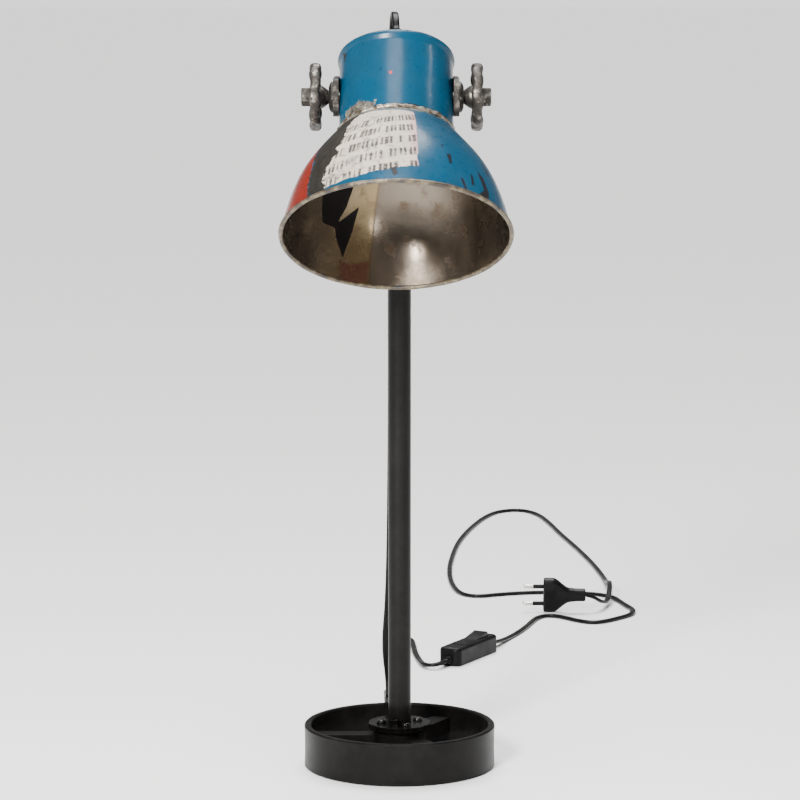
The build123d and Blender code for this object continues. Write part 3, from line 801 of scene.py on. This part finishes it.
# How finely both sheets are cut, and how dented the cap is next to the bell
AROUND = 480
BELL_ROWS = 150
WALL_ROWS = 70
CAP_DENTS = 0.4

# Outlines on the bell, each point an angle round the axis in degrees (0 right, 90 front, 180 left) and
# a distance along the axis in millimetres, drawn on a sheet of one mean radius
BELL_MEAN = 68 * MM
LABEL = [
    *((74, 37), (77, 60), (79, 99), (96, 103), (112, 107), (128, 110)),
    *((133, 100), (128, 82), (127, 60), (131, 44), (143, 36), (110, 35)),
]
SCRAPE = [
    *((124, 32), (160, 31), (168, 44), (151, 56), (142, 84), (139, 112)),
    *((127, 112), (131, 99), (125, 80), (125, 58), (129, 44)),
]
RED = [(150, 42), (150, 56), (143, 80), (139, 112), (150, 116), (225, 116), (215, 84), (200, 60), (190, 40)]
SCRATCHES = [
    [(59, 82), (62, 83), (61, 92), (59.5, 91)],
    [(62, 74), (64, 74), (63.5, 79)],
    [(38, 92), (42, 89), (40, 104), (46, 112), (38, 113), (36, 104)],
    [(31, 76), (33, 75), (31, 87), (29.5, 86)],
    [(54, 102), (56, 102), (54, 111), (52.5, 111)],
    [(90, 101), (93, 102), (91, 109), (89, 107)],
    [(22, 60), (24, 60), (23, 68)],
    [(47, 95), (48.5, 95), (49, 105), (47, 104)],
]
INNER_PRINT = [
    [(-149, 60), (-125, 48), (-125, 62), (-129, 78), (-139, 78)],
    [(-130, 76), (-116, 60), (-117, 76), (-120.5, 97), (-126, 86)],
]
MAROON = [(-122, 100), (-105, 96), (-104, 113), (-121, 113)]
SEAM_ANGLE = -104.5
SEAM_WIDTH = 0.7 * MM

# Outlines on the cap, drawn the same way
CAP_SCRAPE = [(152, 40), (108, 40), (112, 25), (130, 21), (150, 24)]
CAP_SPECKS = [
    [(104, -1), (106.5, -1), (106, 1.2)],
    [(88, 20), (90, 20.5), (89, 23)],
    [(150, -24), (158, -28), (155, -18)],
    [(19, -6), (23, -5), (21, 3)],
]
RED_DOT = [(94, 2), (97, 2), (97, 4.6), (94, 4.6)]

# What the sheet's materials read at each point: a depth inside a patch, in metres, or a share
DEPTHS = ("label", "scrape", "red", "scratch", "dot", "print", "maroon", "edge")
SHARES = ("label_across", "label_bars", "rust", "scrape_and_painted_highlight", "seam", "seam_side")

DENT_SEED = 11
DENT_COUNT = 16

# The label's rows of bars: where the first row starts, the rows' and the bars' pitch in millimetres,
# and how far a row falls for each degree round
FIRST_ROW = 39
ROW_PITCH = 13.0
ROW_COUNT = 5
BAR_PITCH = 3.1
ROW_SLANT = 0.2
LABEL_RIGHT = 78


def degrees_and_depth(profile, segments):
    """For a revolved grid, each point's angle in degrees, within half a turn of the front, and its
    distance along the axis in millimetres."""
    angle = np.degrees(full_turn(segments))
    height = profile[:, 1] / MM
    return np.stack(np.broadcast_arrays(angle[None, :], height[:, None]), axis=-1)


def patch(field, outline, radius):
    """Depth inside an outline drawn in degrees and millimetres, in metres on a sheet of that radius."""
    scale = np.array([math.radians(1) * radius / MM, 1.0])
    around = np.asarray(outline, float)
    middle = around[:, 0].mean()
    angle = (field[..., 0] - middle + 180) % 360 - 180 + middle
    return depth_inside(np.stack([angle, field[..., 1]], axis=-1) * scale, around * scale) * MM


def deepest(field, outlines, radius):
    return np.max([patch(field, outline, radius) for outline in outlines], axis=0)


def dents(field, amount):
    """Hand-beaten unevenness: a few long waves round the sheet and a scatter of shallow round dents."""
    angle = np.radians(field[..., 0])
    height = field[..., 1]
    waves = 0.5 * np.sin(3 * angle + height / 31) + 0.35 * np.sin(5 * angle - height / 19 + 1.3)
    waves += 0.25 * np.sin(11 * angle + height / 9)
    rng = np.random.default_rng(DENT_SEED)
    ranges = ((0, 2 * math.pi), (-30, 110), (5, 13))
    for centre, level, spread in zip(*(rng.uniform(*ends, DENT_COUNT) for ends in ranges)):
        gap = (angle - centre + math.pi) % (2 * math.pi) - math.pi
        waves -= 1.5 * np.exp(-((gap * 60) ** 2 + (height - level) ** 2) / spread**2)
    return waves * amount


def label_bars(field, radius):
    """Rows of upright bars of uneven widths and heights, as on a worn printed label: no letters."""
    slant = field[..., 1] - ROW_SLANT * (field[..., 0] - LABEL_RIGHT)
    row = np.floor((slant - FIRST_ROW) / ROW_PITCH)
    within = (slant - FIRST_ROW) / ROW_PITCH - row
    column = field[..., 0] * math.radians(1) * radius / MM / BAR_PITCH
    cell = np.floor(column)
    # An even-looking number from 0 to 1 for each bar
    hashed = np.modf(np.abs(np.sin(cell * 12.9898 + row * 78.233) * 43758.5453))[0]
    bar = (hashed > 0.2) & (np.abs(column - cell - 0.5) < 0.2 + 0.17 * hashed)
    tall = np.abs(within - 0.52) < 0.29
    return (bar & tall & (row >= 0) & (row < ROW_COUNT)).astype(float)


def both_sides(outer, thickness, way):
    """An outer line, then the same line moved in along its normal by the sheet's thickness, going back.
    way is 1 for a line that runs down towards the shade's mouth, and -1 for one that runs up."""
    slope = np.gradient(outer, axis=0)
    normal = way * np.stack([slope[:, 1], -slope[:, 0]], axis=1)
    normal /= np.linalg.norm(normal, axis=1)[:, None]
    return np.concatenate([outer, (outer - normal * thickness)[::-1]])


def painted_sheet(name, profile, offset, values, materials):
    """A sheet turned round the shade's axis: the profile's first half is its outside. A depth that isn't
    given is far outside its patch, and a share that isn't given is 0."""
    shape = (len(profile), AROUND)
    full = {f"{name}_depth": np.full(shape, -1.0) for name in DEPTHS}
    full.update((name, np.zeros(shape)) for name in SHARES)
    full.update((name, np.broadcast_to(value, shape)) for name, value in values.items())
    surface = turned(profile, AROUND, PIVOT, DOWN, ACROSS, offset)
    inside = np.repeat(np.arange(len(profile)) >= len(profile) // 2 - 1, AROUND)
    return piece(name, [shell(surface, wrap_rows=True, values=full)], materials, slots=inside)


class ShadeOperator(bpy.types.Operator):
    """Cap, bell, rolled edge and the brazed bead between them"""

    bl_idname = "bell_lamp.shade"
    bl_label = "Shade"

    def execute(self, context):
        size = sizes()
        materials = [worn_enamel(), bare_sheet()]
        self.make_bell(size, materials)
        self.make_cap(size, materials)
        self.make_edges(size)
        return {"FINISHED"}

    def make_bell(self, size, materials):
        """Outer wall: a cubic curve turned round the shade's axis; inner wall: the same curve moved in
        by the sheet's thickness. Both carry the same dents."""
        profile = both_sides(bezier(BELL, BELL_ROWS), size.sheet, 1)
        field = degrees_and_depth(profile, AROUND)
        angle, height = field[..., 0], field[..., 1]
        neck = (BELL[0, 1] / MM + 2.6 - height) * MM
        mouth = (height - (BELL[3, 1] / MM - 2.0)) * MM
        turn = (angle + 180) % 360 - 180
        off_seam = (turn - SEAM_ANGLE) * math.radians(1) * profile[:, :1]
        values = {
            "label_depth": patch(field, LABEL, BELL_MEAN),
            "label_across": 1 - np.clip((angle - 74) / 60, 0, 1),
            "label_bars": label_bars(field, BELL_MEAN),
            "scrape_depth": patch(field, SCRAPE, BELL_MEAN),
            "red_depth": patch(field, RED, BELL_MEAN),
            "scratch_depth": deepest(field, SCRATCHES, BELL_MEAN),
            "edge_depth": np.maximum(neck, mouth),
            "rust": np.clip(mouth / (6 * MM) + 0.1, -0.3, 0.12) + 0.2 * np.exp(-(((angle - 58) / 16) ** 2)),
            # Painted highlight on the bare band just under the brazed bead, over pale scraped metal
            "scrape_and_painted_highlight": 0.9 * smoothstep(-1.5 * MM, 0.5 * MM, neck),
            "print_depth": deepest(field, INNER_PRINT, BELL_MEAN),
            "maroon_depth": patch(field, MAROON, BELL_MEAN),
            "seam": np.exp(-((off_seam / SEAM_WIDTH) ** 2)),
            "seam_side": smoothstep(-150, -106, turn) * (turn < SEAM_ANGLE),
        }
        bell = painted_sheet("bell_sheet", profile, dents(field, size.dent), values, materials)
        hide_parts("shade_bell")
        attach(bell, "head")

    def make_cap(self, size, materials):
        """Outer wall straight, swelling into a rounded lip, then a shallow dished top; inner wall the
        same line moved in by the sheet's thickness."""
        wall = np.linspace(CAP_BOTTOM, FLARE_START, WALL_ROWS)
        below_lip = np.linspace(CAP_LIP + 4.7 * MM, CAP_LIP, 16)
        flare = smoothstep(FLARE_START, CAP_LIP, below_lip)
        swell = size.cap_radius + (size.lip_radius - size.cap_radius) * flare
        turn = np.linspace(0.06, 1, 24) * math.pi / 2
        corner = np.array([5.5 * MM, CAP_LIP - CAP_TOP])
        centre = np.array([size.lip_radius - corner[0], CAP_LIP])
        reach = np.linspace(centre[0] - 0.6 * MM, TOP_HOLE, 30)
        stretches = (
            np.stack([np.full(WALL_ROWS, size.cap_radius), wall], axis=1),
            np.stack([swell, below_lip], axis=1),
            centre + np.stack([np.cos(turn), -np.sin(turn)], axis=1) * corner,
            np.stack([reach, np.full(30, CAP_TOP)], axis=1),
        )
        profile = both_sides(np.concatenate(stretches), size.sheet, -1)
        field = degrees_and_depth(profile, AROUND)
        angle, height = field[..., 0], field[..., 1]
        bottom = (height - 28.6) * MM
        lip_wear = (2.2 - np.abs(height + 32.0)) * MM - 2.0 * MM
        on_wall = profile[:, :1] > size.cap_radius - 3 * MM
        values = {
            "scrape_depth": patch(field, CAP_SCRAPE, size.cap_radius),
            "scratch_depth": deepest(field, CAP_SPECKS, size.cap_radius),
            "edge_depth": np.where(on_wall, np.maximum(bottom, lip_wear), -0.004),
            "rust": -0.1,
            # Painted highlight on the cap's bare steel from 112 degrees round, over pale scraped metal
            "scrape_and_painted_highlight": 0.85 * smoothstep(100, 112, angle),
            "dot_depth": patch(field, RED_DOT, size.cap_radius),
        }
        offset = dents(field, size.dent * CAP_DENTS) * (profile[:, :1] > 0.03)
        cap = painted_sheet("cap_sheet", profile, offset, values, materials)
        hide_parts("shade_cap")
        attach(cap, "head")

    def make_edges(self, size):
        """Rolled edge and brazed bead: rings whose section radius varies a little round the shade."""
        angle = full_turn(AROUND)
        section = full_turn(20)
        rim_wave = 1 + 0.06 * np.sin(7 * angle) + 0.04 * np.sin(17 * angle + 1)
        rim = self.ring(BELL[3], size.rim_bead * rim_wave, section, squash=1.0)
        rolled = piece("rolled_edge", [shell(rim, wrap_rows=True)], [worn_rolled_edge()])
        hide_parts("rim_bead")
        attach(rolled, "head")
        lumps = 1 + 0.16 * np.sin(9 * angle) + 0.12 * np.sin(23 * angle + 2) + 0.08 * np.sin(41 * angle)
        front = 1 + 0.5 * np.exp(-(((np.degrees(angle) - 125) / 22) ** 2))
        centre = np.array([size.cap_radius - 0.1 * MM, CAP_BOTTOM + 0.8 * MM])
        bead = self.ring(centre, size.neck_bead * lumps * 0.92, section, squash=front)
        brazed = piece("brazed_ring", [shell(bead, wrap_rows=True)], [brazed_bead()])
        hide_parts("neck_bead")
        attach(brazed, "head")

    @staticmethod
    def ring(centre, radius, section, squash):
        """A ring round the shade's axis: a circle of the given radius at each angle, stretched along
        the axis by squash."""
        angle = full_turn(AROUND)
        out = centre[0] + radius[None, :] * np.cos(section)[:, None]
        along = centre[1] + radius[None, :] * np.sin(section)[:, None] * squash
        ray = np.cos(angle)[:, None] * ACROSS + np.sin(angle)[:, None] * FACING
        return PIVOT + along[..., None] * DOWN + out[..., None] * ray[None]


# ---------------------------------------------------------------- handwheels


# Where a handwheel's rim starts along the axis, from the middle, and how thick the rim is there
RIM_INSIDE = 54.2 * MM
RIM_THICKNESS = 8.6 * MM
RIM_WAVE = 0.55 * MM

# The hub's section, each point a radius and a place along the axis, and how far its corners are cut
HUB = [(4.05, 49.1), (5.0, 49.1), (8.3, 53.4), (8.3, 61.8), (7.0, 62.8), (4.05, 62.8)]
HUB_CORNERS = [0.3, 0.4, 1.5, 0.6, 0.5, 0.3]
SPOKES = 4


class HandwheelOperator(bpy.types.Operator):
    """Two cast valve handwheels with their washers, spindles and nuts"""

    bl_idname = "bell_lamp.handwheels"
    bl_label = "Handwheels"

    def execute(self, context):
        size = sizes()
        tone = tuple(colours().iron)
        casting = raw_casting("raw_sand_cast_iron", tone, "8E8980")
        dark = raw_casting("blackened_washer_steel", scaled(tone, 0.6), "7E7A74")
        thread = plated_metal("zinc_plated_spindle", "8F8D88", 0.3, "5A5650")
        for hand, way in SIDES:
            wheel = piece(f"{hand}_cast_wheel", self.shells(size, way), [casting])
            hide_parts(f"{hand}_handwheel")
            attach(wheel, f"{hand}_knob")
            dress(dark, f"{hand}_clamp_washer")
            dress(casting, f"{hand}_end_nut")
            dress(thread, f"{hand}_spindle")
        return {"FINISHED"}

    def shells(self, size, way):
        """Rim: a rounded section carried round the axis, with its outer radius and its place along the
        axis waving in step. Spokes: oval bars that thicken to each end. Hub: a turned cone."""
        axis = np.array([way, 0.0, 0.0])
        start = np.array([0.0, 0.0, 1.0])
        centre_plane = RIM_INSIDE + RIM_THICKNESS / 2
        angle = full_turn(192)
        wave = np.cos(size.wheel_lobes * angle)
        outer = size.wheel_radius + RIM_WAVE * wave - RIM_WAVE
        middle = (outer + size.wheel_inner) / 2
        half = (outer - size.wheel_inner) / 2
        shape, rise = squared(full_turn(28), 0.7)
        radius = middle[None, :] + half[None, :] * shape[:, None]
        sway = RIM_WAVE * np.sin(size.wheel_lobes * angle)
        swell = 1 - 0.1 * (1 - wave) / 2
        along = centre_plane + sway[None, :] + RIM_THICKNESS / 2 * 0.94 * rise[:, None] * swell[None, :]
        ray = np.cos(angle)[:, None] * start + np.sin(angle)[:, None] * np.cross(axis, start)
        shells = [shell(PIVOT + along[..., None] * axis + radius[..., None] * ray[None], wrap_rows=True)]
        hub = rounded(HUB, HUB_CORNERS) * MM
        shells.append(shell(turned(hub, 64, PIVOT, axis, start), wrap_rows=True))
        reach = np.linspace(6.5, 18.5, 16) * MM
        flare = 1 + 0.35 * ((reach - 12.5 * MM) / (6 * MM)) ** 2
        oval = full_turn(24)
        for spoke in range(SPOKES):
            turn = math.radians(45 + 360 / SPOKES * spoke)
            ray = math.cos(turn) * start + math.sin(turn) * np.cross(axis, start)
            beside = np.cross(axis, ray)
            centre = PIVOT + centre_plane * axis + reach[:, None] * ray
            wide = 3.1 * MM * flare[:, None, None] * np.cos(oval)[None, :, None] * beside
            deep = 2.4 * MM * flare[:, None, None] * np.sin(oval)[None, :, None] * axis
            shells.append(shell(centre[:, None] + wide + deep))
        return shells


# ---------------------------------------------------------------- stand


class StandOperator(bpy.types.Operator):
    """Foot, flange, screws, pole and yoke"""

    bl_idname = "bell_lamp.stand"
    bl_label = "Stand"

    def execute(self, context):
        tone = tuple(colours().paint)
        satin = stoved_paint("satin_black_stoving_paint", tone, 0.36, 0.1)
        brushed = stoved_paint("thick_black_brushed_paint", tone, 0.36, 0.04)
        gloss = stoved_paint("gloss_black_brushed_paint", scaled(tone, 0.7), 0.24, 0.25)
        bar = raw_casting("oiled_hot_rolled_bar", scaled(colours().iron, 0.55), "6B655E")
        dress(brushed, "base_wheel")
        dress(satin, "pole", "pole_top_plate")
        dress(gloss, "pole_flange", "flange_screws", "locking_screw")
        dress(bar, "yoke")
        return {"FINISHED"}


# ---------------------------------------------------------------- lampholder and boot


# The boot's section, each point a radius and a place along the shade's axis, how far its corners are
# cut, and its ribs
BOOT = [(3.1, -33.6), (7.5, -33.6), (7.5, -39.6), (5.6, -42.2), (4.3, -54.7), (3.8, -56.5), (3.1, -56.5)]
BOOT_CORNERS = [0.2, 0.6, 0.8, 1.0, 1.0, 0.5, 0.2]
RIB_DEPTH = 0.28
RIB_PITCH = 2.3


class HolderOperator(bpy.types.Operator):
    """Lampholder inside the cap, and the boot that the lead leaves by"""

    bl_idname = "bell_lamp.holder"
    bl_label = "Lampholder and boot"

    def execute(self, context):
        phenolic = moulded_plastic("moulded_phenolic", linear("1A1614"), 0.3, 1.4)
        brass = plated_metal("pressed_brass", "B08D57", 0.32, "6B5433")
        zinc = plated_metal("zinc_plated_nut", "A9A7A1", 0.34, "6E6A62")
        dress(phenolic, "lampholder_dome", "lampholder_shell")
        dress(steatite(), "lampholder_insert")
        dress(brass, "lampholder_contacts", "nipple")
        dress(zinc, "nipple_nut", "spindle_nuts")
        self.make_boot()
        return {"FINISHED"}

    def make_boot(self):
        """A turned section, cut again into even small steps so that its tapered part can be ribbed."""
        outline = rounded(BOOT, BOOT_CORNERS, steps=10)
        fine = np.linspace(0, 1, 420)
        loop = np.concatenate([outline, outline[:1]])
        walked = np.concatenate([[0], np.cumsum(np.linalg.norm(np.diff(loop, axis=0), axis=1))])
        profile = np.stack([np.interp(fine * walked[-1], walked, loop[:, k]) for k in (0, 1)], axis=1)[:-1]
        ribbed = (profile[:, 1] < -43.5) & (profile[:, 1] > -54.5) & (profile[:, 0] > 3.6)
        rib = RIB_DEPTH * (1 - np.cos(profile[:, 1] * 2 * math.pi / RIB_PITCH))
        profile[:, 0] -= np.where(ribbed, rib, 0)
        surface = turned(profile * MM, 64, PIVOT, DOWN, ACROSS)
        plastic = moulded_plastic("moulded_nylon_boot", tuple(colours().plastic), 0.42, 0.7)
        boot = piece("tapered_boot", [shell(surface, wrap_rows=True)], [plastic])
        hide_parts("lead_boot")
        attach(boot, "head")


# ---------------------------------------------------------------- switch


class SwitchOperator(bpy.types.Operator):
    """Switch in the lead: two shells, rocker, screws and ribbed collars"""

    bl_idname = "bell_lamp.switch"
    bl_label = "Switch"

    def execute(self, context):
        tone = tuple(colours().plastic)
        shell_skin = moulded_plastic("moulded_abs_shell", scaled(tone, 0.6), 0.46, 0.6)
        rocker_skin = moulded_plastic("moulded_abs_rocker", scaled(tone, 0.5), 0.36, 0.9)
        zinc = plated_metal("blackened_case_screw", "4A4845", 0.4, "2E2C2A")
        brass = plated_metal("switch_brass", "B08D57", 0.35, "6B5433")
        dress(shell_skin, "switch_base", "switch_cover", "switch_reliefs")
        dress(rocker_skin, "switch_rocker")
        dress(zinc, "switch_screws", "rocker_pin")
        dress(brass, "switch_terminals")
        return {"FINISHED"}


# ---------------------------------------------------------------- plug


# The plug's body in millimetres: its length, its neck's half width and half depth, where the neck's
# grooves start and end, and their pitch
PLUG_LENGTH = 40.0
NECK_WIDE, NECK_DEEP = 5.9, 4.7
GROOVES_START, GROOVES_END, GROOVE_PITCH = 28, 38.4, 2.6


class PlugOperator(bpy.types.Operator):
    """Moulded two-pin plug, with its pins and sleeves"""

    bl_idname = "bell_lamp.plug"
    bl_label = "Plug"

    def execute(self, context):
        """Body: super-ellipse sections along the plug, wide at the face, drawn in by a smooth step to
        the neck, with shallow grooves round the neck."""
        size = sizes()
        upper = np.array(MOUNTS["plug_pin_upper"]["pos_m"])
        lower = np.array(MOUNTS["plug_pin_lower"]["pos_m"])
        wide_way = (upper - lower) / np.linalg.norm(upper - lower)
        out = -np.array(MOUNTS["plug_pin_upper"]["axis"])
        deep_way = np.cross(out, wide_way)
        face = (upper + lower) / 2
        face[0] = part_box("plug_body")[0][0]
        reach = np.concatenate([[0, 0.25, 0.7], np.linspace(1.2, 39.2, 90), [39.7, PLUG_LENGTH]])
        draw = smoothstep(8.5, 25, reach) * 0.9 + smoothstep(20, 34, reach) * 0.1
        wide = (size.plug_width / 2 / MM) * (1 - draw) + NECK_WIDE * draw
        deep = (size.plug_depth / 2 / MM) * (1 - draw) + NECK_DEEP * draw
        ends = np.clip(np.minimum(reach, PLUG_LENGTH - reach) / 1.2, 0, 1)
        rounding = 1 - (1 - np.sqrt(1 - (1 - ends) ** 2)) * 1.1 / deep
        grooves = 0.04 * (1 - np.cos((reach - GROOVES_START) * 2 * math.pi / GROOVE_PITCH))
        grooves = grooves * (reach > GROOVES_START) * (reach < GROOVES_END)
        across, up = squared(full_turn(72), 0.62)
        half_wide = ((wide - grooves) * rounding)[:, None] * across[None, :] * MM
        half_deep = ((deep - grooves) * rounding)[:, None] * up[None, :] * MM
        surface = face + (reach * MM)[:, None, None] * out
        surface = surface + half_wide[..., None] * wide_way + half_deep[..., None] * deep_way
        surface[..., 2] = np.maximum(surface[..., 2], 0.0002)
        skin = moulded_plastic("moulded_pvc_plug", tuple(colours().plastic), 0.38, 0.8)
        body = piece("plug_shell", [shell(surface)], [skin])
        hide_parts("plug_body")
        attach(body, "stand")
        dress(plated_metal("nickel_plated_pins", "D5D2CA", 0.18, "9B978E"), "plug_pins")
        dress(moulded_plastic("moulded_pin_sleeves", tuple(colours().plastic), 0.35, 0.6), "plug_sleeves")
        return {"FINISHED"}


# ---------------------------------------------------------------- add-on


class LampPanel(bpy.types.Panel):
    """The lamp's sizes, colours and pieces"""

    bl_idname = "VIEW3D_PT_bell_lamp"
    bl_label = "Bell Desk Lamp"
    bl_space_type = "VIEW_3D"
    bl_region_type = "UI"
    bl_category = "Bell Lamp"

    def draw(self, context):
        layout = self.layout
        for group in (context.scene.lamp_sizes, context.scene.lamp_colours):
            column = layout.column(align=True)
            for name in group.bl_rna.properties.keys():
                if name not in ("rna_type", "name"):
                    column.prop(group, name)
        for operator in OPERATORS:
            layout.operator(operator.bl_idname)


OPERATORS = (
    StageOperator,
    PlugOperator,
    LeadOperator,
    StandOperator,
    ShadeOperator,
    HandwheelOperator,
    HolderOperator,
    SwitchOperator,
)
CLASSES = (LampSizes, LampColours, *OPERATORS, LampPanel)


def register():
    for cls in CLASSES:
        bpy.utils.register_class(cls)
    bpy.types.Scene.lamp_sizes = PointerProperty(type=LampSizes)
    bpy.types.Scene.lamp_colours = PointerProperty(type=LampColours)


def unregister():
    del bpy.types.Scene.lamp_colours
    del bpy.types.Scene.lamp_sizes
    for cls in reversed(CLASSES):
        bpy.utils.unregister_class(cls)


def main():
    register()
    bpy.ops.bell_lamp.stage()
    bpy.ops.bell_lamp.plug()
    bpy.ops.bell_lamp.lead()
    bpy.ops.bell_lamp.stand()
    bpy.ops.bell_lamp.shade()
    bpy.ops.bell_lamp.handwheels()
    bpy.ops.bell_lamp.holder()
    bpy.ops.bell_lamp.switch()


if __name__ == "__main__":
    main()
